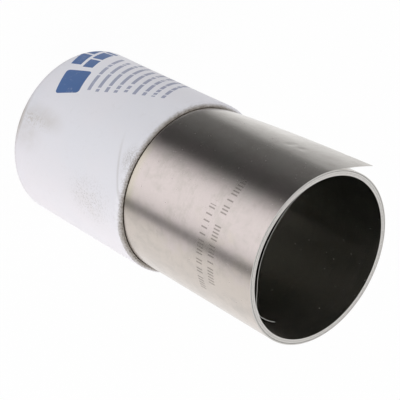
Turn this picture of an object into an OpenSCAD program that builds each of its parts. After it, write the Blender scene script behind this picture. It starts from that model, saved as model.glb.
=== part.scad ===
// Shim stock roll: a thin steel strip wound into a roll, half inside a card sleeve.
// The roll stands on its sleeve end at z = 0, with its axis along Z and its bare end up.

/* [Strip] */
// Width of the strip, which is the height of the roll
strip_w = 150; // [110:1:305]
// Thickness of the strip
strip_t = 0.2; // [0.1:0.01:0.5]

/* [Coil] */
// Diameter of the open middle of the roll
bore_d = 67.6; // [45:0.1:120]
// Number of turns wound on each other
turns = 12; // [3:1:40]
// Width of the fine gap between two turns, where it opens on the ends of the roll
turn_gap = 0.06; // [0.02:0.01:0.09]
// Depth to which that gap shows on the ends
turn_gap_depth = 0.4; // [0.1:0.1:2]

/* [Loose outer end] */
// Length of strip that springs off the roll at the bare end
tail_len = 17.6; // [5:0.1:40]
// Angle about the roll where the strip leaves it
tail_start = 228; // [0:1:359]
// Length of the loose end that is tucked under the sleeve
tail_tuck = 2; // [0.5:0.5:15]

/* [Loose inner end] */
// Radius to which the inner end has curled
curl_r = 16; // [6:0.5:30]
// Length of strip in the curl
curl_len = 16.4; // [6:0.2:20]
// Angle about the bore where the curl starts, still inside the wall
curl_start = 348; // [0:1:359]

/* [Sleeve] */
// Length of the card sleeve
sleeve_len = 75; // [20:1:130]
// Thickness of the card
sleeve_wall = 2; // [0.8:0.1:5]
// Radial clearance between the roll and the sleeve
sleeve_gap = 0.3; // [0.2:0.05:1.5]
// Worn break along the sleeve's cut edges
sleeve_break = 0.25; // [0.05:0.05:0.35]

/* [Hidden] */
$fn = 180;

bore_r = bore_d / 2;
coil_r = bore_r + turns * strip_t;
sleeve_r_in = coil_r + sleeve_gap;
sleeve_r = sleeve_r_in + sleeve_wall;

// The loose ends start inside the wall of the roll, so that they are one piece with it
wall = coil_r - bore_r;
tail_sink = strip_t / 2;
curl_sink = wall / 4;
curl_angle = curl_len / curl_r * 180 / PI;

// Cells of the loose outer end, up the roll and along the strip
tail_cells_z = 10;
tail_cells_s = 8;

// How far the loose outer end has opened: 0 where the sleeve still holds it, 1 at the bare end
function opened(z) = max(0, (z - sleeve_len) / (strip_w - sleeve_len));
// Its curvature falls from that of the roll to nothing at the bare end
function tail_curve(z) = pow(1 - opened(z), 2) / coil_r;
// Angle about the roll that its outside faces, at distance s from the root
function tail_facing(z, s) = tail_start - tail_curve(z) * s * 180 / PI;
// Chord of a bent strip of length s, which is s itself once it has straightened
function chord(bend, s) = bend * s < 1e-6 ? s : 2 / bend * sin(bend * s * 90 / PI);
// Point of the loose end at height z and distance s, with side +1 outside and -1 inside
function tail_point(z, s, side) =
    let (
        facing = tail_facing(z, s),
        half_way = (tail_start + facing) / 2,
        span = chord(tail_curve(z), s),
        face = side * tail_sink
    ) [
        coil_r * cos(tail_start) + span * sin(half_way) + face * cos(facing),
        coil_r * sin(tail_start) - span * cos(half_way) + face * sin(facing),
        z
    ];

tail_stations = concat(
    [sleeve_len - tail_tuck],
    [for (i = [0 : tail_cells_z]) sleeve_len + (strip_w - sleeve_len) * i / tail_cells_z]
);
tail_rows = len(tail_stations);
tail_cols = tail_cells_s + 1;
function tail_face(side) = [
    for (z = tail_stations)
        for (j = [0 : tail_cells_s])
            tail_point(z, tail_len * j / tail_cells_s, side)
];
// Two triangles for the cell whose corners are given in order
function cell(a, b, c, d) = [[c, b, a], [d, c, a]];
function grid_index(i, j) = i * tail_cols + j;
tail_cells = [
    for (i = [0 : tail_rows - 2])
        for (j = [0 : tail_cells_s - 1])
            each cell(grid_index(i, j), grid_index(i + 1, j), grid_index(i + 1, j + 1), grid_index(i, j + 1))
];
// The rim of the sheet, once round, as pairs of neighbours
tail_rim = concat(
    [for (i = [0 : tail_rows - 2]) grid_index(i, 0)],
    [for (j = [0 : tail_cells_s - 1]) grid_index(tail_rows - 1, j)],
    [for (i = [tail_rows - 1 : -1 : 1]) grid_index(i, tail_cells_s)],
    [for (j = [tail_cells_s : -1 : 1]) grid_index(0, j)]
);
inside = tail_rows * tail_cols;

module loose_outer_end() {
    polyhedron(
        points = concat(tail_face(1), tail_face(-1)),
        faces = concat(
            tail_cells,
            [for (c = tail_cells) [c[2] + inside, c[1] + inside, c[0] + inside]],
            [
                for (k = [0 : len(tail_rim) - 1])
                    let (a = tail_rim[k], b = tail_rim[(k + 1) % len(tail_rim)])
                        each cell(b, a, a + inside, b + inside)
            ]
        )
    );
}

module loose_inner_end() {
    rotate([0, 0, curl_start])
        translate([bore_r - curl_r + curl_sink, 0, 0])
            rotate_extrude(angle = curl_angle)
                translate([curl_r - strip_t, 0]) square([strip_t, strip_w]);
}

// The wall of the roll, before its turns show
module wound_wall() {
    rotate_extrude()
        translate([bore_r, 0]) square([wall, strip_w]);
}

// Section of one gap: a V as wide as the gap on the end, grown past it so that it cuts clear
gap_cut = [[-turn_gap, -turn_gap_depth], [turn_gap, -turn_gap_depth], [0, turn_gap_depth]];

// The fine gaps between the turns, as they show on both ends
module turn_gaps() {
    for (turn = [1 : turns - 1], end = [0, 1])
        translate([0, 0, end * strip_w])
            mirror([0, 0, end])
                rotate_extrude()
                    translate([bore_r + turn * strip_t, 0]) polygon(gap_cut);
}

// The steel strip, wound, with both of its loose ends
module shim_coil() {
    color("silver")
        difference() {
            union() {
                wound_wall();
                loose_outer_end();
                loose_inner_end();
            }
            turn_gaps();
        }
}

// The card tube over the lower half of the roll
module sleeve() {
    color("whitesmoke")
        rotate_extrude()
            polygon([
                [sleeve_r_in + sleeve_break, 0],
                [sleeve_r - sleeve_break, 0],
                [sleeve_r, sleeve_break],
                [sleeve_r, sleeve_len - sleeve_break],
                [sleeve_r - sleeve_break, sleeve_len],
                [sleeve_r_in + sleeve_break, sleeve_len],
                [sleeve_r_in, sleeve_len - sleeve_break],
                [sleeve_r_in, sleeve_break]
            ]);
}

shim_coil();
sleeve();
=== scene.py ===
"""Looks of a roll of steel shim strip that stands half inside a white card sleeve.

Lengths are metres in the frame of the part: the roll's axis is Z, its sleeve end stands on z = 0 and its
bare end is up. Materials measure in millimetres. Clock angles run clockwise seen from above, the way the
strip is wound, and are degrees in materials.
"""

import logging
import math
import random
from dataclasses import dataclass
from enum import Enum
from typing import Any, Callable, Dict, List, Optional, Sequence, Tuple, Union

import bmesh
import bpy
from mathutils import Matrix, Vector


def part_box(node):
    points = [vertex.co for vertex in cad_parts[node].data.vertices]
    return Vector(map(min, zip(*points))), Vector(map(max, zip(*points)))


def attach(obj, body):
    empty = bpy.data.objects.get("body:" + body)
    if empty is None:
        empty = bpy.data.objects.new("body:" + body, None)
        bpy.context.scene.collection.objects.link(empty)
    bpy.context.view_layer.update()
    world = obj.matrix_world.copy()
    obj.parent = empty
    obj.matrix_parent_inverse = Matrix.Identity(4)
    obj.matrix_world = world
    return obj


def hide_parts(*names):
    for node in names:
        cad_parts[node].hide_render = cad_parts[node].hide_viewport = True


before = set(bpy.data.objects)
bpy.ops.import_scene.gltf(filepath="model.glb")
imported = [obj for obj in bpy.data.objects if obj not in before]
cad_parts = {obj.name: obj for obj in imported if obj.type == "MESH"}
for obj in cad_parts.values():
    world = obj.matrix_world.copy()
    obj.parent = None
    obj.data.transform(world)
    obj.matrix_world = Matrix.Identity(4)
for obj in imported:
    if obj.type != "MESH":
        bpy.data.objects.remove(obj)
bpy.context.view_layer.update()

LOG = logging.getLogger("shim_roll")
BODY = "root"
MM = 0.001
PER_MM = 1000.0
TURN = 2.0 * math.pi
# Direction about the axis from which clock angles are counted
CLOCK_ZERO = math.radians(243.0)

Colour = Tuple[float, float, float]
Point = Tuple[float, float, float]
Value = Union["Wire", float, int, Sequence[float]]


def math_node(operation: str, swapped: bool = False) -> Callable[..., "Wire"]:
    """Make a method of a wire that adds one Math node.

    Args:
        operation: The node's operation.
        swapped: Whether the wire itself comes last.

    Returns:
        The method; it takes the node's further values and returns the node's result.
    """

    def method(self: "Wire", *others: Value) -> "Wire":
        """Return the result of the operation."""
        return self.graph.math(operation, *((*others, self) if swapped else (self, *others)))

    return method


class Wire:
    """A socket that takes part in Python arithmetic: each operator or method adds one Math node."""

    __add__ = __radd__ = math_node("ADD")
    __mul__ = __rmul__ = math_node("MULTIPLY")
    __sub__, __rsub__ = math_node("SUBTRACT"), math_node("SUBTRACT", swapped=True)
    __truediv__, __rtruediv__ = math_node("DIVIDE"), math_node("DIVIDE", swapped=True)
    # Comparisons give 1 or 0
    __gt__, __lt__ = math_node("GREATER_THAN"), math_node("LESS_THAN")
    __abs__ = math_node("ABSOLUTE")
    sin, cos = math_node("SINE"), math_node("COSINE")
    root = math_node("SQRT")
    # The whole number below, and what is left past it
    floor, fract = math_node("FLOOR"), math_node("FRACT")
    # The larger and the smaller of two
    at_least, at_most = math_node("MAXIMUM"), math_node("MINIMUM")

    def __init__(self, graph: "Graph", socket: bpy.types.NodeSocket) -> None:
        """Keep the graph and the socket."""
        self.graph = graph
        self.socket = socket

    def ease(self, low: Value, high: Value) -> "Wire":
        """Return a smooth step from 0 where self is low to 1 where self is high."""
        node = self.graph.node("ShaderNodeMapRange", {"interpolation_type": "SMOOTHSTEP"},
                               {"Value": self, "From Min": low, "From Max": high})
        return self.graph.out(node, "Result")


class Graph:
    """A node tree that is filled from Python expressions."""

    def __init__(self, tree: bpy.types.NodeTree) -> None:
        """Keep the tree."""
        self.tree = tree

    def node(self, kind: str, settings: Optional[Dict[str, Any]] = None,
             sockets: Optional[Dict[Any, Value]] = None) -> bpy.types.Node:
        """Add a node.

        Args:
            kind: Blender's name of the node's type.
            settings: The node's own settings, set first.
            sockets: Values or wires for the inputs, by name or by number.

        Returns:
            The node.
        """
        node = self.tree.nodes.new(kind)
        for name, value in (settings or {}).items():
            setattr(node, name, value)
        for key, value in (sockets or {}).items():
            self.feed(node.inputs[key], value)
        return node

    def feed(self, socket: bpy.types.NodeSocket, value: Value) -> None:
        """Link a wire to a socket, or set the socket's own value."""
        if isinstance(value, Wire):
            self.tree.links.new(value.socket, socket)
        elif socket.type == "RGBA" and len(value) == 3:
            socket.default_value = (*value, 1.0)
        else:
            socket.default_value = value

    def out(self, node: bpy.types.Node, key: Any = 0) -> Wire:
        """Return one output of a node as a wire."""
        return Wire(self, node.outputs[key])

    def math(self, operation: str, *values: Value) -> Wire:
        """Add a Math node on one to three values and return its result."""
        node = self.node("ShaderNodeMath", {"operation": operation}, dict(enumerate(values)))
        return self.out(node)

    def vector(self, x: Value, y: Value, z: Value) -> Wire:
        """Join three values into a vector."""
        return self.out(self.node("ShaderNodeCombineXYZ", None, {"X": x, "Y": y, "Z": z}))

    def parts(self, vector: Wire) -> Tuple[Wire, Wire, Wire]:
        """Split a vector into its three values."""
        node = self.node("ShaderNodeSeparateXYZ", None, {"Vector": vector})
        return self.out(node, "X"), self.out(node, "Y"), self.out(node, "Z")

    def noise(self, vector: Wire, detail: float = 2.0, roughness: float = 0.5) -> Wire:
        """Return soft noise between 0 and 1 at a place."""
        node = self.node("ShaderNodeTexNoise", None,
                         {"Vector": vector, "Scale": 1.0, "Detail": detail, "Roughness": roughness})
        return self.out(node, "Fac")

    def ripple(self, along: Wire, scale: float) -> Wire:
        """Return soft noise between 0 and 1 along one measure."""
        node = self.node("ShaderNodeTexNoise", {"noise_dimensions": "1D"}, {"W": along, "Scale": scale})
        return self.out(node, "Fac")

    def chance(self, x: Value, y: Value, z: Value = 0.0) -> Wire:
        """Return a fixed random value between 0 and 1 for a whole-number place."""
        node = self.node("ShaderNodeTexWhiteNoise", None, {"Vector": self.vector(x, y, z)})
        return self.out(node, "Value")

    def mix(self, share: Value, first: Value, second: Value) -> Wire:
        """Return a colour that goes from first to second as share goes from 0 to 1."""
        node = self.node("ShaderNodeMix", {"data_type": "RGBA"}, {0: share, 6: first, 7: second})
        return self.out(node, 2)


class Paint(Graph):
    """The node tree of a material, with the measures of a roll that its patterns are laid out by."""

    def __init__(self, name: str) -> None:
        """Start an empty material.

        Args:
            name: The material's name.
        """
        self.material = bpy.data.materials.new(name)
        self.material.use_nodes = True
        super().__init__(self.material.node_tree)
        self.tree.nodes.clear()
        place = self.out(self.node("ShaderNodeTexCoord"), "Object")
        self.x, self.y, self.z = (axis * PER_MM for axis in self.parts(place))
        normal = self.out(self.node("ShaderNodeNewGeometry"), "Normal")
        self.facing_up = self.parts(normal)[2]

    def clock(self) -> Wire:
        """Return the clock angle in degrees, between -180 and 180."""
        ahead = self.x * math.cos(CLOCK_ZERO) + self.y * math.sin(CLOCK_ZERO)
        beside = self.x * math.sin(CLOCK_ZERO) - self.y * math.cos(CLOCK_ZERO)
        return self.math("DEGREES", self.math("ARCTAN2", beside, ahead))

    def radius(self) -> Wire:
        """Return the distance from the axis in millimetres."""
        return (self.x * self.x + self.y * self.y).root()

    def grain(self, across: float, up: float, detail: float = 2.0, roughness: float = 0.5) -> Wire:
        """Return soft noise with its own fineness across the roll and up it.

        Args:
            across: Scale across the roll, per millimetre.
            up: Scale up the roll, per millimetre.
            detail: Number of finer layers.
            roughness: Strength of those layers.

        Returns:
            The noise, between 0 and 1.
        """
        place = self.vector(self.x * across, self.y * across, self.z * up)
        return self.noise(place, detail, roughness)

    def bump(self, height: Wire, strength: float, distance: float) -> Wire:
        """Return a normal bent by a height."""
        node = self.node("ShaderNodeBump", None,
                         {"Strength": strength, "Distance": distance, "Height": height})
        return self.out(node, "Normal")

    def finish(self, sockets: Dict[str, Value]) -> bpy.types.Material:
        """Close the material with one surface shader.

        Args:
            sockets: The values or wires of the shader's inputs.

        Returns:
            The material.
        """
        surface = self.node("ShaderNodeBsdfPrincipled", None, sockets)
        self.node("ShaderNodeOutputMaterial", None, {"Surface": self.out(surface)})
        return self.material


@dataclass(frozen=True)
class Patch:
    """A soft patch on a roll, 1 in its middle and 0 past its reach.

    Attributes:
        clock: Clock angle of its middle in degrees.
        height: Height of its middle in millimetres.
        half_clock: How far it reaches round the roll, in degrees.
        half_height: How far it reaches up and down, in millimetres.
    """

    clock: float
    height: float
    half_clock: float
    half_height: float

    def mask(self, paint: Paint, clock: Wire) -> Wire:
        """Return the patch as a value at a clock angle in degrees."""
        aside = (clock - self.clock) / self.half_clock
        above = (paint.z - self.height) / self.half_height
        return 1.0 - (aside * aside + above * above).root().ease(0.0, 1.0)


@dataclass(frozen=True)
class PrintSheet:
    """A flat measure in millimetres that is laid round a roll, for marks that are printed on it.

    Attributes:
        radius: Radius of the surface in millimetres.
        tilt: Slant of the rows against the way round the roll, in degrees.
    """

    radius: float
    tilt: float = 0.0

    def lay(self, paint: Paint) -> Tuple[Wire, Wire]:
        """Return the distance along a row and the distance across the rows."""
        arc = paint.clock() * math.radians(self.radius)
        slant = math.radians(self.tilt)
        along = arc * math.cos(slant) - paint.z * math.sin(slant)
        across = arc * math.sin(slant) + paint.z * math.cos(slant)
        return along, across


@dataclass(frozen=True)
class MarkRows:
    """Rows of plain strokes in groups, as a generic print; they spell nothing.

    Attributes:
        start: Where the rows start along the sheet, in millimetres.
        end: Where the longest row ends.
        ragged: How much shorter a row may be.
        first: Where the first row starts across the sheet.
        pitch: Distance from row to row.
        rows: Number of rows.
        band: Share of the pitch that a row's strokes fill.
        cell: Width of one stroke and the gap beside it.
        bare: Share of that width that is gap, 0 for solid bars.
        filled: Share of strokes that are there.
        group: Strokes in a group, with one left out between groups.
    """

    start: float
    end: float
    ragged: float
    first: float
    pitch: float
    rows: int
    band: float
    cell: float
    bare: float
    filled: float
    group: float

    def mask(self, paint: Paint, sheet: Tuple[Wire, Wire]) -> Wire:
        """Return 1 on the strokes and 0 beside them.

        Args:
            paint: The material that carries the marks.
            sheet: The distances along and across the rows.

        Returns:
            The mask.
        """
        along, across = sheet
        upward = (across - self.first) / self.pitch
        row = upward.floor()
        in_row = (upward - row) / self.band
        step = (along - self.start) / self.cell
        column = step.floor()
        length = self.end - self.ragged * paint.chance(row, 7.0)
        inside = (upward > 0.0) * (upward < self.rows) * (in_row < 1.0)
        inside = inside * (along > self.start) * (along < length)
        place = (column + 11.0 * row) / self.group
        grouped = abs(place.fract() - 0.5) < 0.5 - 0.5 / self.group
        there = paint.chance(column, row) < self.filled
        mask = inside * grouped * there
        if self.bare > 0.0:
            aside = abs((step - column) * 2.0 - 1.0)
            mask = mask * (1.0 - aside.ease(0.85 - self.bare, 1.15 - self.bare))
        return mask


@dataclass(frozen=True)
class RoundedBlock:
    """A plain block with round corners on a sheet, in millimetres.

    Attributes:
        along: Where its middle lies along the rows.
        across: Where its middle lies across the rows.
        half_length: Half its length without its corners.
        half_width: Half its width without its corners.
        corner: Radius of its corners.
    """

    along: float
    across: float
    half_length: float
    half_width: float
    corner: float

    def mask(self, sheet: Tuple[Wire, Wire]) -> Wire:
        """Return 1 on the block and 0 beside it, from the distances along and across the rows."""
        aside = (abs(sheet[0] - self.along) - self.half_length).at_least(0.0)
        above = (abs(sheet[1] - self.across) - self.half_width).at_least(0.0)
        beyond = (aside * aside + above * above).root()
        return 1.0 - beyond.ease(self.corner, self.corner + 0.2)


@dataclass(frozen=True)
class ShimSteel:
    """Bright rolled steel with fine rolling lines, faint coloured films and two rows of ink strokes, with
    painted light and shade inside the roll, a painted reflection beside the sleeve's mouth and painted
    shade in the widest gap between turns.

    Attributes:
        name: The material's name.
        pink: Colour of the metal where its film looks pink.
        beige: Colour of the metal where its film looks yellow.
        pale: Colour of the clean metal.
        stain: Colour of dull patches.
        bore: Painted light: colour of the inside of the roll on its lit side.
        bore_painted_shade: Painted shade: colour of the inside on the side that the light does not reach.
        mouth_reflection: Colour of the painted reflection of the card's cut edge in the steel beside the
            sleeve's mouth.
        gap: Colour of painted shade in the widest gap between turns, laid on the turns' edges.
        edge: Colour of the slit edge.
        edge_dark: Colour of the slit edge on duller turns.
        loose_edge: Colour of the slit edge of the curled inner end.
        ink: Colour of the ink strokes.
        ink_strength: How fully the ink covers the steel.
        roughness: Middle roughness of the rolled faces.
        skin_r: Radius past which only the outermost turn lies, in millimetres.
        bore_r: Radius within which the steel is the inside of the roll.
        loose_r: Radius within which a turn's edge stands off into the bore.
        gap_r: Radius of the widest gap between turns.
        sheet: The flat measure of the outside.
        marks: The two rows of strokes.
    """

    name: str = "shim_steel"
    pink: Colour = (0.675, 0.602, 0.588)
    beige: Colour = (0.665, 0.60, 0.55)
    pale: Colour = (0.635, 0.607, 0.57)
    stain: Colour = (0.55, 0.51, 0.475)
    bore: Colour = (0.88, 0.84, 0.79)
    bore_painted_shade: Colour = (0.33, 0.335, 0.31)
    mouth_reflection: Colour = (0.64, 0.59, 0.475)
    gap: Colour = (0.30, 0.29, 0.28)
    edge: Colour = (0.71, 0.69, 0.66)
    edge_dark: Colour = (0.52, 0.505, 0.485)
    loose_edge: Colour = (0.42, 0.415, 0.405)
    ink: Colour = (0.12, 0.105, 0.09)
    ink_strength: float = 0.55
    roughness: float = 0.23
    skin_r: float = 35.8
    bore_r: float = 34.0
    loose_r: float = 33.5
    gap_r: float = 35.58
    sheet: PrintSheet = PrintSheet(radius=36.2)
    marks: Tuple[MarkRows, ...] = (
        MarkRows(start=-72.0, end=-33.5, ragged=0.0, first=119.4, pitch=9.0, rows=1, band=0.37,
                 cell=1.35, bare=0.55, filled=0.76, group=6.0),
        MarkRows(start=-66.5, end=-19.5, ragged=0.0, first=125.9, pitch=9.0, rows=1, band=0.37,
                 cell=1.35, bare=0.55, filled=0.76, group=7.0),
    )

    def material(self) -> bpy.types.Material:
        """Build the material and return it."""
        paint = Paint(self.name)
        clock = paint.clock()
        radius = paint.radius()
        films = paint.grain(across=0.09, up=0.075, detail=4.0, roughness=0.6)
        clouds = paint.grain(across=0.16, up=0.13, detail=4.0, roughness=0.65)
        lines = paint.grain(across=0.012, up=1.4, detail=4.0, roughness=0.65)
        fine = paint.grain(across=0.05, up=7.0)
        specks = paint.grain(across=0.8, up=0.8).ease(0.72, 0.78)
        turns = paint.noise(paint.vector(radius * 4.2, 0.0, 0.0), detail=3.0, roughness=0.7)
        edge = abs(paint.facing_up).ease(0.5, 0.8)
        sheet = self.sheet.lay(paint)
        ink = (self.marks[0].mask(paint, sheet) + self.marks[1].mask(paint, sheet)) * self.ink_strength
        ink = ink * radius.ease(self.skin_r, self.skin_r + 0.1)

        # Films on the rolled faces
        drift = (films - 0.5) * 90.0
        colour = paint.mix((clock + drift).ease(-95.0, -65.0), self.beige, self.pink)
        colour = paint.mix((clock + drift).ease(-45.0, -5.0), colour, self.pale)
        colour = paint.mix(clouds.ease(0.42, 0.7) * 0.55 + (lines - 0.5) * 0.35, colour, self.stain)
        # Painted reflection of the card's cut edge in the steel just above the sleeve's mouth
        beside = (1.0 - paint.z.ease(75.5, 79.5)) * clock.ease(-95.0, -70.0)
        beside = beside * (1.0 - clock.ease(-45.0, -30.0))
        colour = paint.mix(beside * 0.6, colour, self.mouth_reflection)
        # Inside of the roll: painted light on one side and painted shade on the other
        lit = clock.ease(80.0, 140.0) + (1.0 - clock.ease(-120.0, -60.0))
        inside = paint.mix(lit, self.bore_painted_shade, self.bore)
        colour = paint.mix(1.0 - radius.ease(self.bore_r, self.bore_r + 0.1), colour, inside)
        # Slit edges of the turns
        slit = paint.mix(turns.ease(0.3, 0.7), self.edge_dark, self.edge)
        # Painted shade on the turns' edges along the widest gap between them
        slit = paint.mix((1.0 - abs(radius - self.gap_r).ease(0.04, 0.2)) * 0.8, slit, self.gap)
        loose = paint.mix(clock.ease(-114.0, -100.0), self.loose_edge, self.edge_dark)
        slit = paint.mix(1.0 - radius.ease(self.loose_r, self.loose_r + 0.2), slit, loose)
        colour = paint.mix(edge, colour, slit)
        colour = paint.mix(ink, colour, self.ink)

        roughness = self.roughness + (lines - 0.5) * 0.10 + (clouds - 0.5) * 0.10
        roughness = roughness + edge * 0.14 + ink * 0.1 + specks * 0.35
        height = lines * 0.8 + fine * 0.2
        return paint.finish({
            "Base Color": colour,
            "Metallic": 1.0 - ink * 0.2,
            "Roughness": roughness,
            "Normal": paint.bump(height, 0.25, 0.00001),
        })


@dataclass(frozen=True)
class SleeveCard:
    """White paper over grey board: print, smudges, a crease drawn as painted shade, painted light that is
    warmer on one side, and the raw board on the cut edges, partly painted shade next to the steel.

    Attributes:
        outer_r: Radius of the tube's outside, in metres.
        mouth: Height of its mouth, in metres.
        name: The material's name.
        cool: Colour of the clean paper.
        warm_light_and_tone: Colour of painted light that is warmer on the side that faces the key lamp, and
            of paper whose tone is warmer at random.
        fibre: Colour of the paper's darker fibres.
        scuffed: Colour of the crushed paper on the cut edges.
        board: Colour of the raw board, also used for the crease's painted shade.
        board_dark_and_shade: Colour of the board's darker fibres, also painted shade at the inner edge of
            the mouth.
        dirt: Colour of the smudges.
        blue: Colour of the heavy print.
        small_print: Colour of the small print.
        smudge: The smudge towards the foot.
        smear: Its thinner side.
        grains: The coarse specks in it.
        foot_smear: Dirt along the edge of the foot.
        haze: A faint cloud of dirt further up.
        speckles: The specks in that cloud.
        scuff: The scuffed place below the mouth.
        seam: Where the painted shade of a faint slanting crease lies across the printed sheet, in
            millimetres.
        sheet: The flat measure of the outside, turned the way the print runs.
        block: The plain block.
        heading: The heavy bars.
        lines: The rows of small bars.
    """

    outer_r: float
    mouth: float
    name: str = "sleeve_card"
    cool: Colour = (0.815, 0.815, 0.87)
    warm_light_and_tone: Colour = (0.85, 0.815, 0.855)
    fibre: Colour = (0.62, 0.60, 0.62)
    scuffed: Colour = (0.448, 0.422, 0.408)
    board: Colour = (0.32, 0.29, 0.258)
    board_dark_and_shade: Colour = (0.16, 0.14, 0.12)
    dirt: Colour = (0.43, 0.38, 0.31)
    blue: Colour = (0.045, 0.125, 0.33)
    small_print: Colour = (0.085, 0.12, 0.28)
    smudge: Patch = Patch(clock=-56.0, height=13.0, half_clock=11.0, half_height=20.0)
    smear: Patch = Patch(clock=-69.0, height=6.0, half_clock=17.0, half_height=15.0)
    grains: Patch = Patch(clock=-60.0, height=9.0, half_clock=8.0, half_height=15.0)
    foot_smear: Patch = Patch(clock=-63.0, height=0.5, half_clock=22.0, half_height=3.0)
    haze: Patch = Patch(clock=-91.0, height=54.0, half_clock=20.0, half_height=17.0)
    speckles: Patch = Patch(clock=-90.0, height=54.0, half_clock=23.0, half_height=20.0)
    scuff: Patch = Patch(clock=-53.0, height=71.5, half_clock=13.0, half_height=5.0)
    seam: float = 46.0
    sheet: PrintSheet = PrintSheet(radius=38.5, tilt=23.5)
    block: RoundedBlock = RoundedBlock(along=-21.4, across=7.0, half_length=5.4, half_width=4.6, corner=1.5)
    heading: MarkRows = MarkRows(start=-11.4, end=17.0, ragged=4.0, first=0.0, pitch=6.6, rows=2,
                                 band=0.76, cell=1.5, bare=0.0, filled=1.0, group=8.0)
    lines: MarkRows = MarkRows(start=-27.6, end=15.0, ragged=12.0, first=16.9, pitch=4.49, rows=9,
                               band=0.38, cell=0.85, bare=0.0, filled=0.88, group=13.0)

    def material(self) -> bpy.types.Material:
        """Build the material and return it."""
        paint = Paint(self.name)
        clock = paint.clock()
        clouds = paint.grain(across=0.05, up=0.04, detail=3.0)
        fibres = paint.grain(across=3.0, up=3.0, detail=3.0)
        streaks = paint.grain(across=1.2, up=9.0, detail=3.0)
        grime = paint.grain(across=0.35, up=0.35, detail=4.0, roughness=0.65)
        grit = paint.grain(across=1.6, up=2.4, detail=3.0, roughness=0.6)
        # Painted light, warmer on the side that faces the key lamp, mixed with the paper's random warmer
        # tone
        painted_warm_light = 1.0 - clock.ease(-115.0, -55.0)
        colour = paint.mix(painted_warm_light * 0.7 + clouds.ease(0.35, 0.68) * 0.3, self.cool, self.warm_light_and_tone)
        colour = paint.mix((fibres - 0.5) * 0.20 + 0.04, colour, self.fibre)
        colour = self._soiled(paint, clock, grime, colour)

        # Painted shade of a crease, and print
        along, across = sheet = self.sheet.lay(paint)
        seam = (1.0 - abs(across - self.seam).ease(0.1, 1.0)) * (1.0 - along.ease(-64.0, -46.0))
        colour = paint.mix(seam * 0.26, colour, self.board)
        depth = (self.outer_r * PER_MM - paint.radius()).at_least(0.0)
        printed = (1.0 - grime.ease(0.55, 0.85) * 0.35) * (1.0 - depth.ease(0.35, 0.55))
        heavy = self.heading.mask(paint, sheet).at_least(self.block.mask(sheet))
        colour = paint.mix(heavy * printed, colour, self.blue)
        small = self.lines.mask(paint, sheet)
        colour = paint.mix(small * printed * 0.62, colour, self.small_print)

        # Crushed paper and raw board on the cut edges; the raw board's darkness next to the steel is partly
        # painted shade
        fray = (streaks - 0.5) * 0.8 + (grime - 0.5) * 1.3 + (grit - 0.5) * 1.8
        rubbed = (1.0 - clock.ease(-105.0, -82.0)) * clock.ease(-180.0, -150.0)
        rim = depth.ease(0.08, 0.3)
        raw = (depth + fray * 0.6 + rubbed * 0.4).ease(1.15, 1.8) * rim
        crushed = (depth + fray * 0.6 + rubbed * 0.65).ease(0.3, 1.4) * rim
        mottled = (streaks * 0.5 + grit * 0.5).ease(0.44, 0.56)
        colour = paint.mix(crushed * 0.9, colour, paint.mix(mottled, self.scuffed, self.board))
        colour = paint.mix(raw, colour, paint.mix(mottled, self.board, self.board_dark_and_shade))

        # Scuffs on the outside beside both edges
        mouth = self.mouth * PER_MM
        near = paint.z.ease(mouth - 6.0, mouth - 2.0) * grit.ease(0.4, 0.7)
        near = near * grime.ease(0.45, 0.65) * (1.0 - clock.ease(-50.0, -25.0) * 0.55) * 0.7
        near = near.at_least(self.scuff.mask(paint, clock) * grit.ease(0.4, 0.6))
        near = near.at_least((1.0 - paint.z.ease(0.3, 1.8)) * streaks.ease(0.35, 0.7) * 0.7)
        colour = paint.mix(near * 0.5, colour, self.board)
        height = fibres * 0.5 + raw * streaks * 1.5 + grime * 0.2
        return paint.finish({
            "Base Color": colour,
            "Roughness": 0.5 + (clouds - 0.5) * 0.12 + raw * 0.4,
            "Normal": paint.bump(height, 0.2, 0.00005),
        })

    def _soiled(self, paint: Paint, clock: Wire, grime: Wire, clean: Wire) -> Wire:
        """Return the paper's colour with its smudges and specks.

        Args:
            paint: The material.
            clock: The clock angle in degrees.
            grime: Noise for the faint dirt all over.
            clean: The clean paper's colour.

        Returns:
            The colour.
        """
        drawn = paint.grain(across=0.2, up=0.16, detail=3.0, roughness=0.55)
        specks = paint.grain(across=0.95, up=0.95, detail=3.0, roughness=0.65)
        dots = paint.grain(across=1.25, up=1.25, detail=3.0, roughness=0.7)
        dirt = self.smudge.mask(paint, clock) * (drawn.ease(0.2, 0.7) * 0.5 + 0.35)
        dirt = dirt.at_least(self.smear.mask(paint, clock) * drawn.ease(0.1, 0.7) * 0.6)
        dirt = dirt + self.grains.mask(paint, clock) * specks.ease(0.48, 0.62) * 0.8
        dirt = dirt.at_least(self.foot_smear.mask(paint, clock) * 1.5)
        dirt = dirt.at_least(grime.ease(0.55, 0.9) * 0.3)
        dirt = dirt.at_least(self.haze.mask(paint, clock) * drawn.ease(0.2, 0.7) * 0.3)
        colour = paint.mix(dirt.at_most(1.3) * 0.42, clean, self.dirt)
        speckled = self.speckles.mask(paint, clock) * dots.ease(0.52, 0.61)
        return paint.mix(speckled.at_most(1.0) * 0.5, colour, self.scuffed)


class Stretch(Enum):
    """The stretches of the one strip; each is a piece of its own."""

    INNER = "strip_inner_turn"
    MIDDLE = "strip_wound_turns"
    OUTER = "strip_outer_turn"


def add_object(name: str, mesh: bpy.types.Mesh) -> bpy.types.Object:
    """Put a mesh into the scene as an object at the origin and return it."""
    piece = bpy.data.objects.new(name, mesh)
    bpy.context.scene.collection.objects.link(piece)
    return piece


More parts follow.
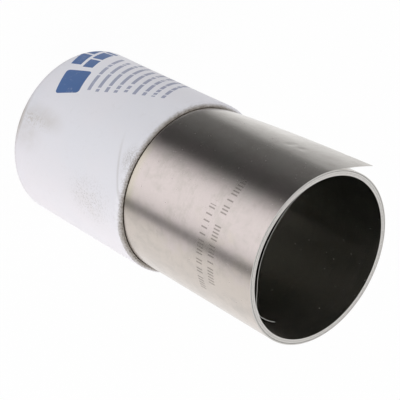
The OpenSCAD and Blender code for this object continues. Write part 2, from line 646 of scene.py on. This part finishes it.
def ring_mesh(name: str, rings: Sequence[Sequence[Point]], closed: bool) -> bpy.types.Mesh:
    """Skin the points of a section that goes round the axis.

    Args:
        name: The mesh's name.
        rings: The section's points at each step round the axis.
        closed: Whether the section runs back to its first point.

    Returns:
        The mesh.
    """
    mesh = bmesh.new()
    corners = [[mesh.verts.new(point) for point in ring] for ring in rings]
    count = len(corners[0])
    for step, ring in enumerate(corners):
        following = corners[(step + 1) % len(corners)]
        for i in range(count if closed else count - 1):
            j = (i + 1) % count
            mesh.faces.new((ring[i], following[i], following[j], ring[j]))
    bmesh.ops.recalc_face_normals(mesh, faces=mesh.faces)
    data = bpy.data.meshes.new(name)
    mesh.to_mesh(data)
    mesh.free()
    return data


def settle(piece: bpy.types.Object) -> None:
    """Turn an object's modifiers into its plain mesh."""
    depsgraph = bpy.context.evaluated_depsgraph_get()
    mesh = bpy.data.meshes.new_from_object(piece.evaluated_get(depsgraph), depsgraph=depsgraph)
    before = piece.data
    piece.modifiers.clear()
    piece.data = mesh
    mesh.name = piece.name
    bpy.data.meshes.remove(before)


def smooth_faces(piece: bpy.types.Object, sharp: float) -> None:
    """Shade an object smooth, with edges sharper than an angle in radians kept crisp."""
    mesh = piece.data
    mesh.polygons.foreach_set("use_smooth", [True] * len(mesh.polygons))
    mesh.set_sharp_from_angle(angle=sharp)


def join_part(piece: bpy.types.Object, node: str) -> None:
    """Let a finished piece stand for a CAD node.

    Args:
        piece: The finished object.
        node: The CAD node that it replaces.
    """
    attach(piece, BODY)
    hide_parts(node)
    LOG.info("%s: %d faces", piece.name, len(piece.data.polygons))


@dataclass
class WoundStrip:
    """The steel strip: a spiral of close turns, a sprung outer end and a curled inner end.

    Attributes:
        top: Height of the bare end.
        mouth: Height of the sleeve's mouth, up to which the sleeve holds the outer end.
        outer_r: Radius of the outside of the roll.
        bore_r: Radius of the open middle.
        thickness: Thickness of the steel.
        clock_start: Clock angle of the root of the inner end, in degrees.
        clock_end: Clock angle where the strip leaves the roll, in degrees, all turns counted.
        tail: Length of the sprung outer end.
        spring: Share of the roll's curve that this end has lost at the top.
        curl: Length of the curled inner end.
        curl_r: Radius of that curl.
        kink: Angle in degrees at which it breaks away from the wall.
        slack: How far the innermost turn stands off the next one near its end.
        slack_turn: Clock angle over which it comes back to the others, in degrees.
        loose_out: Extra gap that shows about one turn near the outside.
        loose_in: Extra gap that shows about one turn nearer the bore.
        stagger: How unevenly the turns' edges end.
        dent: Depth of two small dents at the root of the outer end.
        nick: Depth of a nick in the outer end's cut edge.
        nick_height: Height of that nick.
        nick_half: Half its height.
        ragged: How ragged that cut edge is.
        release: Power with which the outer end comes free from the sleeve's mouth to the top.
        gap_turns: Turns from the strip's end to the outer one of the two wider gaps.
        gap_share: Share of the winding at which the other one lies.
        dents: Distance of each dent past the root, its height, and its half length and half height.
        node: The CAD node that it stands for.
        slot: The record's material slot; not used.
    """

    top: float
    mouth: float
    outer_r: float
    bore_r: float
    thickness: float = 0.18 * MM
    clock_start: float = 247.0
    clock_end: float = 8.0 + 12 * 360.0
    tail: float = 22.4 * MM
    spring: float = 0.74
    curl: float = 10.3 * MM
    curl_r: float = 28.0 * MM
    kink: float = 20.0
    slack: float = 1.3 * MM
    slack_turn: float = 102.0
    loose_out: float = 0.10 * MM
    loose_in: float = 0.05 * MM
    stagger: float = 0.06 * MM
    dent: float = 0.11 * MM
    nick: float = 0.55 * MM
    nick_height: float = 136.0 * MM
    nick_half: float = 1.6 * MM
    ragged: float = 0.25 * MM
    release: float = 0.45
    gap_turns: float = 2.7
    gap_share: float = 0.42
    dents: Tuple[Tuple[float, float, float, float], ...] = (
        (5.6 * MM, 121.8 * MM, 3.6 * MM, 1.9 * MM),
        (5.5 * MM, 127.3 * MM, 2.4 * MM, 2.2 * MM),
    )
    node: str = "shim_coil"
    slot: str = "shim_steel"

    @property
    def wind(self) -> float:
        """The angle through which the strip is wound, in radians."""
        return math.radians(self.clock_end - self.clock_start)

    @property
    def inner_line(self) -> float:
        """Radius of the middle of the innermost turn's steel."""
        return self.bore_r + self.thickness / 2

    @property
    def outer_line(self) -> float:
        """Radius of the middle of the outermost turn's steel."""
        return self.outer_r - self.thickness / 2

    def spans(self) -> Dict[Stretch, Tuple[float, float, int, int]]:
        """Return each stretch's start and end in radians of winding, and its cells along and across."""
        lap = 0.25
        inner_end = TURN + lap
        outer_start = self.wind - TURN - lap
        return {
            Stretch.INNER: (-self.curl / self.inner_line, inner_end, 340, 12),
            Stretch.MIDDLE: (inner_end, outer_start, 1160, 1),
            Stretch.OUTER: (outer_start, self.wind + self.tail / self.outer_line, 320, 110),
        }

    def measures(self) -> Dict[str, float]:
        """Return the inputs of the winding that all stretches share, by the names of their sockets."""
        return {
            "Wind": self.wind, "Clock Start": math.radians(self.clock_start),
            "Inner Radius": self.inner_line, "Outer Radius": self.outer_line,
            "Top": self.top, "Mouth": self.mouth, "Spring": self.spring,
            "Curl Radius": self.curl_r, "Kink": math.radians(self.kink),
            "Slack": self.slack, "Slack Turn": math.radians(self.slack_turn),
            "Loose Outside": self.loose_out, "Loose Inside": self.loose_in,
            "Stagger": self.stagger, "Dent": self.dent,
            "Nick": self.nick, "Nick Height": self.nick_height,
        }

    def tree(self) -> bpy.types.NodeTree:
        """Build the node tree that winds a stretch of strip and return it."""
        tree = bpy.data.node_groups.new("wound_strip", "GeometryNodeTree")
        tree.interface.new_socket("Geometry", in_out="OUTPUT", socket_type="NodeSocketGeometry")
        for name in ("From", "To", *self.measures()):
            tree.interface.new_socket(name, in_out="INPUT", socket_type="NodeSocketFloat")
        for name in ("Cells Along", "Cells Across"):
            tree.interface.new_socket(name, in_out="INPUT", socket_type="NodeSocketInt")
        tree.interface.new_socket("Material", in_out="INPUT", socket_type="NodeSocketMaterial")

        graph = Graph(tree)
        given = graph.node("NodeGroupInput")

        def size(name: str) -> Wire:
            """Return one of the tree's inputs."""
            return graph.out(given, name)

        start, end, wind, top, mouth = map(size, ("From", "To", "Wind", "Top", "Mouth"))
        outer, inner, curl_r, kink = map(size, ("Outer Radius", "Inner Radius", "Curl Radius", "Kink"))
        grid = graph.node("GeometryNodeMeshGrid", None, {
            "Size X": 1.0, "Size Y": 1.0,
            "Vertices X": size("Cells Along") + 1, "Vertices Y": size("Cells Across") + 1,
        })
        spot = graph.parts(graph.out(graph.node("GeometryNodeInputPosition")))
        along, across = spot[0] + 0.5, spot[1] + 0.5

        # Height, with edges that end a little unevenly
        angle = start + (end - start) * along
        wound = angle.at_least(0.0).at_most(wind)
        uneven, uneven_foot = graph.ripple(wound, 0.35), graph.ripple(wound + 50.0, 0.35)
        height = top * across
        height = height + size("Stagger") * ((1.0 - across) * uneven_foot - across * uneven)

        # Radius of the spiral, with two wider gaps and the slack of the innermost turn
        close = outer - inner - size("Loose Outside") - size("Loose Inside")
        radius = inner + close * wound / wind
        gap_out = wind - self.gap_turns * TURN
        gap_in = wind * self.gap_share
        for name, gap_at in (("Loose Outside", gap_out), ("Loose Inside", gap_in)):
            radius = radius + size(name) * wound.ease(gap_at - 0.4, gap_at + 0.4)
        slack_turn = size("Slack Turn")
        leaving = wound.ease(slack_turn * 0.05, slack_turn * 0.22)
        returning = wound.ease(slack_turn * 0.55, slack_turn)
        radius = radius - size("Slack") * leaving * (1.0 - returning)
        heading = CLOCK_ZERO - size("Clock Start") - wound
        east, north = heading.cos(), heading.sin()

        # The two loose ends, as ways onward along the strip and inward to the axis
        past = angle - wind
        share = (past / (end - wind).at_least(0.01)).at_least(0.0)
        nick = size("Nick") * (1.0 - abs(height - size("Nick Height")).ease(0.0, self.nick_half))
        nick = nick + self.ragged * graph.ripple(height, 130.0)
        tail = past.at_least(0.0) * outer - nick * share * share
        rise = (height - mouth) / (top - mouth)
        freed = graph.math("POWER", rise.at_least(0.0).at_most(1.0), self.release)
        tail_bend = tail * (1.0 - size("Spring") * freed) / outer + 1e-5
        curl = (0.0 - angle).at_least(0.0) * inner
        curl_end = kink + curl / curl_r
        onward = tail * tail_bend.sin() / tail_bend
        onward = onward - curl_r * (curl_end.sin() - kink.sin())
        inward = tail * (1.0 - tail_bend.cos()) / tail_bend
        inward = inward + curl_r * (kink.cos() - curl_end.cos())
        for ahead, up, long, wide in self.dents:
            aside = (past * outer - ahead) / long
            above = (height - up) / wide
            inward = inward + size("Dent") * (1.0 - (aside * aside + above * above).ease(0.0, 1.0))
        place = graph.vector((radius - inward) * east + onward * north,
                             (radius - inward) * north - onward * east, height)

        bent = graph.node("GeometryNodeSetPosition", None,
                          {"Geometry": graph.out(grid, "Mesh"), "Position": place})
        plain = graph.node("GeometryNodeRealizeInstances", None, {"Geometry": graph.out(bent)})
        dressed = graph.node("GeometryNodeSetMaterial", None,
                             {"Geometry": graph.out(plain), "Material": size("Material")})
        graph.node("NodeGroupOutput", None, {"Geometry": graph.out(dressed)})
        return tree

    def build(self, finish: ShimSteel) -> List[bpy.types.Object]:
        """Wind the three stretches of strip.

        Args:
            finish: The steel's finish.

        Returns:
            The finished pieces.
        """
        material = finish.material()
        tree = self.tree()
        sockets = {item.name: item.identifier for item in tree.interface.items_tree
                   if item.in_out == "INPUT"}
        pieces = []
        for stretch, (start, end, cells_along, cells_across) in self.spans().items():
            piece = add_object(stretch.value, bpy.data.meshes.new(stretch.value))
            winding = piece.modifiers.new("winding", "NODES")
            winding.node_group = tree
            values = {
                "From": start, "To": end, **self.measures(),
                "Cells Along": cells_along, "Cells Across": cells_across, "Material": material,
            }
            for name, value in values.items():
                winding[sockets[name]] = value
            settle(piece)
            steel = piece.modifiers.new("steel", "SOLIDIFY")
            steel.thickness = self.thickness
            steel.offset = 0.0
            settle(piece)
            self._outward(piece)
            smooth_faces(piece, math.radians(40.0))
            pieces.append(piece)
        return pieces

    @staticmethod
    def _outward(piece: bpy.types.Object) -> None:
        """Point the faces of a closed piece outwards."""
        mesh = bmesh.new()
        mesh.from_mesh(piece.data)
        if mesh.calc_volume(signed=True) < 0.0:
            bmesh.ops.reverse_faces(mesh, faces=mesh.faces)
        mesh.to_mesh(piece.data)
        mesh.free()


def facing(clock: float, towards: float) -> float:
    """Return how far a clock angle in radians faces one in degrees, from 0 beside it to 1 at it."""
    return max(0.0, math.cos(clock - math.radians(towards)))


@dataclass
class CardSleeve:
    """The card tube over the lower half of the roll, with a worn mouth.

    Attributes:
        length: Length of the tube.
        outer_r: Outer radius where the tube is widest.
        wall: Thickness of the card there.
        slim: How much narrower most of the tube is.
        foot_edge: Radius of the edge that it stands on.
        bevel: Height of the worn slope round the mouth, where it is highest.
        lip: Width of the lip that is left inside that slope.
        wave: How far the mouth dips along its wave.
        torn: How much further it is worn down on one side.
        close: How much closer to the roll the tube lies away from its loose side.
        fray: How far the fibres of the mouth stand up or down.
        frayed: How far below the mouth they do.
        seed: Start of the fibres' random draws.
        push_clock: Clock angle in degrees where the strip's loose end pushes the mouth out.
        loose_clock: Clock angle where the tube stands off from the roll.
        dip_clock: Clock angle where the wave of the mouth dips.
        torn_clock: Clock angle where it is worn down further.
        bevel_clock: Clock angle where the worn slope is highest.
        slope: Height of that slope's shoulder below the lip, in bevels.
        steps: Faces up the tube.
        segments: Faces round the tube.
        node: The CAD node that it stands for.
        slot: The record's material slot; not used.
    """

    length: float
    outer_r: float
    wall: float = 2.0 * MM
    slim: float = 0.2 * MM
    foot_edge: float = 0.3 * MM
    bevel: float = 1.9 * MM
    lip: float = 0.15 * MM
    wave: float = 0.95 * MM
    torn: float = 1.5 * MM
    close: float = 0.22 * MM
    fray: float = 0.10 * MM
    frayed: float = 2.0 * MM
    seed: int = 4
    push_clock: float = 35.0
    loose_clock: float = -65.0
    dip_clock: float = -118.0
    torn_clock: float = -150.0
    bevel_clock: float = -55.0
    slope: float = 1.35
    steps: int = 40
    segments: int = 480
    node: str = "sleeve"
    slot: str = "sleeve_card"

    def outside(self, clock: float, height: float) -> float:
        """Return the outer radius: the strip's loose end pushes the mouth out on its side."""
        pushed = facing(clock, self.push_clock) ** 4 * (height / self.length) ** 3
        return self.outer_r - self.slim * (1.0 + 0.3 * math.sin(clock * 3 + 0.4)) * (1.0 - pushed)

    def inside(self, clock: float) -> float:
        """Return the inner radius: the tube stands off from the roll on one side."""
        loose = facing(clock, self.loose_clock) ** 2
        return self.outer_r - self.wall - self.close * (1.0 - loose)

    def dip(self, clock: float) -> float:
        """Return how far the mouth dips at a clock angle."""
        share = 0.42 + 0.38 * math.cos(clock - math.radians(self.dip_clock))
        share += 0.06 * math.sin(clock * 5 + 2.0) + 0.04 * math.sin(clock * 13 + 1.0)
        return self.wave * share + self.torn * facing(clock, self.torn_clock) ** 5

    def section(self, clock: float) -> List[Tuple[float, float]]:
        """Return the section at a clock angle as radius and height, once round, outside first."""
        inner = self.inside(clock)
        top = self.length - self.dip(clock)
        bevel = self.bevel * (0.62 + 0.38 * math.cos(clock - math.radians(self.bevel_clock)))
        shoulder = top - self.slope * bevel
        points = []
        for step in range(self.steps + 1):
            height = self.foot_edge + (shoulder - self.foot_edge) * step / self.steps
            points.append((self.outside(clock, height), height))
        outer = points[-1][0]
        # The worn slope, a curve from the shoulder to the lip
        for t in (0.12, 0.25, 0.4, 0.55, 0.7, 0.85, 1.0):
            deep = 0.3 * t * (1 - t) + t * t
            drop = self.slope * (1 - t) ** 2 + 1.9 * t * (1 - t)
            points.append((outer - (outer - inner - self.lip) * deep, top - bevel * drop))
        points += [(inner + 0.04 * MM, top - 0.03 * MM), (inner, top - 0.15 * MM), (inner, self.length / 2)]
        points += [(inner, 0.1 * MM), (inner + 0.1 * MM, 0.0)]
        foot, edge = points[0][0], self.foot_edge
        points.append((foot - edge, 0.0))
        points += [(foot - edge * (1 - math.sin(a)), edge * (1 - math.cos(a))) for a in (0.4, 0.8, 1.2)]
        return points

    def build(self, finish: SleeveCard) -> bpy.types.Object:
        """Make the tube.

        Args:
            finish: The card's finish.

        Returns:
            The finished piece.
        """
        chance = random.Random(self.seed)
        rings = []
        for step in range(self.segments):
            angle = TURN * step / self.segments
            clock = CLOCK_ZERO - angle
            ring = []
            for radius, height in self.section(clock):
                if height > self.length - self.frayed and radius > self.inside(clock) + self.lip / 2:
                    height -= self.fray * chance.random() * 2.0
                    radius -= self.fray * chance.random()
                ring.append((radius * math.cos(angle), radius * math.sin(angle), height))
            rings.append(ring)
        data = ring_mesh("card_sleeve", rings, closed=True)
        piece = add_object("card_sleeve", data)
        data.materials.append(finish.material())
        smooth_faces(piece, math.radians(50.0))
        return piece


@dataclass(frozen=True)
class SoftLamp:
    """A large soft lamp.

    Attributes:
        name: Its name.
        clock: Clock angle in degrees from which it shines.
        rise: Its height above the roll's middle as an angle in degrees.
        away: Its distance.
        size: Its width.
        watts: Its power.
    """

    name: str
    clock: float
    rise: float
    away: float
    size: float
    watts: float

    def build(self, aim: Vector) -> None:
        """Hang the lamp so that it shines at a point."""
        lamp = bpy.data.lights.new(self.name, "AREA")
        lamp.size = self.size
        lamp.energy = self.watts
        piece = bpy.data.objects.new(self.name, lamp)
        bearing = CLOCK_ZERO - math.radians(self.clock)
        rise = math.radians(self.rise)
        level = math.cos(rise)
        out = Vector((math.cos(bearing) * level, math.sin(bearing) * level, math.sin(rise)))
        piece.location = aim + out * self.away
        piece.rotation_euler = out.to_track_quat("Z", "Y").to_euler()
        piece.visible_glossy = False
        bpy.context.scene.collection.objects.link(piece)


@dataclass
class Studio:
    """A pale floor, soft lamps, and a light tent round the roll that only its gloss sees.

    Attributes:
        aim: Middle of the roll.
        shade_r: Radius about the axis inside which the floor is only lit by what reaches it.
        tent_r: Radius of the tent.
        tent_top: Height of the tent.
        tent_foot_r: Radius to which its cloth runs in over the floor.
        floor_half: Half the floor's width.
        ambient: Strength of the light from all round.
        white: Strength of the tent's white cloth.
        dark: Strength of the dark gap in it.
        tent_segments: Faces round the tent.
        lamps: The soft lamps.
    """

    aim: Vector
    shade_r: float
    tent_r: float = 0.100
    tent_top: float = 0.155
    tent_foot_r: float = 0.060
    floor_half: float = 3.0
    ambient: float = 0.66
    white: float = 1.06
    dark: float = 0.06
    tent_segments: int = 96
    lamps: Tuple[SoftLamp, ...] = (
        SoftLamp("key_lamp", clock=-142.0, rise=28.0, away=1.2, size=0.8, watts=5.3),
        SoftLamp("front_lamp", clock=-38.0, rise=30.0, away=1.2, size=0.9, watts=1.75),
        SoftLamp("back_lamp", clock=95.0, rise=30.0, away=1.2, size=0.7, watts=1.8),
    )

    def build(self) -> None:
        """Build the whole studio."""
        self._world()
        self._floor()
        self._tent()
        for lamp in self.lamps:
            lamp.build(self.aim)

    @staticmethod
    def _seen(graph: Graph) -> Wire:
        """Return 1 for what the camera sees straight, mirrored or through glass, else 0."""
        path = graph.node("ShaderNodeLightPath")
        seen = graph.out(path, "Is Camera Ray").at_least(graph.out(path, "Is Glossy Ray"))
        return seen.at_least(graph.out(path, "Is Transmission Ray"))

    def _world(self) -> None:
        """Make the world white to look at and plain soft light otherwise."""
        world = bpy.data.worlds.new("studio")
        world.use_nodes = True
        graph = Graph(world.node_tree)
        graph.tree.nodes.clear()
        seen = self._seen(graph)
        light = graph.node("ShaderNodeBackground", None,
                           {"Color": (1.0, 1.0, 1.0), "Strength": seen + (1.0 - seen) * self.ambient})
        graph.node("ShaderNodeOutputWorld", None, {"Surface": graph.out(light)})
        bpy.context.scene.world = world

    def _floor(self) -> None:
        """Lay a pale floor that shows white and keeps the roll's shadow."""
        mesh = bmesh.new()
        bmesh.ops.create_grid(mesh, x_segments=2, y_segments=2, size=self.floor_half)
        bmesh.ops.translate(mesh, verts=mesh.verts, vec=(0.0, 0.0, -0.05 * MM))
        data = bpy.data.meshes.new("floor")
        mesh.to_mesh(data)
        mesh.free()
        floor = add_object("floor", data)
        paint = Paint("pale_floor")
        open_floor = paint.radius().ease(self.shade_r * PER_MM - 1.5, self.shade_r * PER_MM - 0.5)
        share = self._seen(paint) * open_floor * 0.96
        lit = paint.node("ShaderNodeBsdfDiffuse", None, {"Color": (0.88, 0.88, 0.88)})
        white = paint.node("ShaderNodeEmission", None, {"Color": (1.0, 1.0, 1.0), "Strength": 1.0})
        both = paint.node("ShaderNodeMixShader", None, {0: share, 1: paint.out(lit), 2: paint.out(white)})
        paint.node("ShaderNodeOutputMaterial", None, {"Surface": paint.out(both)})
        data.materials.append(paint.material)

    def _tent(self) -> None:
        """Stand a white tent round the roll, with a dark gap and a dark seam for the steel to mirror."""
        section = ((self.tent_foot_r, MM), (self.tent_r, MM), (self.tent_r, self.tent_top))
        rings = []
        for step in range(self.tent_segments):
            angle = TURN * step / self.tent_segments
            rings.append([(out * math.cos(angle), out * math.sin(angle), up) for out, up in section])
        data = ring_mesh("light_tent", rings, closed=False)
        tent = add_object("light_tent", data)
        paint = Paint("tent_cloth")
        clock = paint.clock()
        # The dark gap, with one leaning side and one side that fades slowly
        rising = clock.ease(36.5, 79.5) * 0.875 + clock.ease(-12.0, 38.0) * 0.125
        leaning = clock - (paint.z - 50.0) * 0.03
        gap = leaning.ease(-56.0, -40.0) * 0.08 + leaning.ease(-46.5, -14.5) * 0.92
        gap = gap * (1.0 - rising)
        # The dark seam and its blur
        aside = abs(clock + 98.3 - (paint.z - 30.0) * 0.02)
        seam = 1.0 - aside.ease(1.0, 10.5)
        blur = 1.0 - aside.ease(5.0, 28.0)
        # Duller cloth beside them
        fade = clock.ease(38.0, 54.0) * (1.0 - clock.ease(140.0, 170.0)) * paint.z.ease(42.0, 64.0)
        left = 1.0 - clock.ease(-100.0, -82.0)
        dull = left * (0.08 + clock.ease(-178.0, -150.0) * 0.06) + clock.ease(110.0, 150.0) * 0.08
        cloth = (1.0 - gap) * (1.0 - seam * 0.81) * (1.0 - blur * 0.19) * (1.0 - fade * 0.10) * (1.0 - dull)
        glow = paint.node("ShaderNodeEmission", None,
                          {"Strength": self.dark + (self.white - self.dark) * cloth})
        paint.node("ShaderNodeOutputMaterial", None, {"Surface": paint.out(glow)})
        data.materials.append(paint.material)
        for rays in ("camera", "diffuse", "transmission", "volume_scatter", "shadow"):
            setattr(tent, f"visible_{rays}", False)


@dataclass(frozen=True)
class PhotoCamera:
    """The camera at the photograph's view of the roll.

    Attributes:
        aim: The point in the middle of the picture.
        azimuth: Turn about the axis in degrees, 0 from the front.
        elevation: Height of the view in degrees.
        roll: Turn of the camera about its own view, in degrees to the left.
        away: Distance from the aim.
        lens: Focal length in millimetres.
        sensor: Width of the picture in the same measure.
    """

    aim: Tuple[float, float, float] = (8.4 * MM, -13.5 * MM, 95.3 * MM)
    azimuth: float = 24.41
    elevation: float = 42.42
    roll: float = 118.3
    away: float = 0.600
    lens: float = 135.3
    sensor: float = 36.0

    def build(self) -> None:
        """Set up the scene's camera."""
        turn, rise, roll = (math.radians(a) for a in (self.azimuth, self.elevation, self.roll))
        back = Vector((math.sin(turn) * math.cos(rise), -math.cos(turn) * math.cos(rise), math.sin(rise)))
        level = Vector((math.cos(turn), math.sin(turn), 0.0))
        upright = back.cross(level)
        right = level * math.cos(roll) + upright * math.sin(roll)
        up = upright * math.cos(roll) - level * math.sin(roll)
        place = Vector(self.aim) + back * self.away
        data = bpy.data.cameras.new("photo_camera")
        data.lens = self.lens
        data.sensor_width = self.sensor
        data.clip_start = 0.01
        camera = bpy.data.objects.new("photo_camera", data)
        camera.matrix_world = Matrix((
            (right.x, up.x, back.x, place.x),
            (right.y, up.y, back.y, place.y),
            (right.z, up.z, back.z, place.z),
            (0.0, 0.0, 0.0, 1.0),
        ))
        bpy.context.scene.collection.objects.link(camera)
        bpy.context.scene.camera = camera


def main() -> None:
    """Build the roll, its sleeve, the studio and the camera."""
    logging.basicConfig(level=logging.INFO, format="%(name)s: %(message)s")
    coil_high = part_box("shim_coil")[1]
    sleeve_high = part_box("sleeve")[1]
    bpy.context.scene.view_settings.view_transform = "Standard"
    PhotoCamera().build()

    strip = WoundStrip(top=coil_high.z, mouth=sleeve_high.z, outer_r=coil_high.y, bore_r=33.7 * MM)
    for piece in strip.build(ShimSteel()):
        join_part(piece, strip.node)
    sleeve = CardSleeve(length=sleeve_high.z, outer_r=sleeve_high.x)
    card = SleeveCard(outer_r=sleeve.outer_r - sleeve.slim, mouth=sleeve.length)
    join_part(sleeve.build(card), sleeve.node)

    Studio(aim=Vector((0.0, 0.0, coil_high.z / 2)), shade_r=sleeve.outer_r).build()


if __name__ == "__main__":
    main()
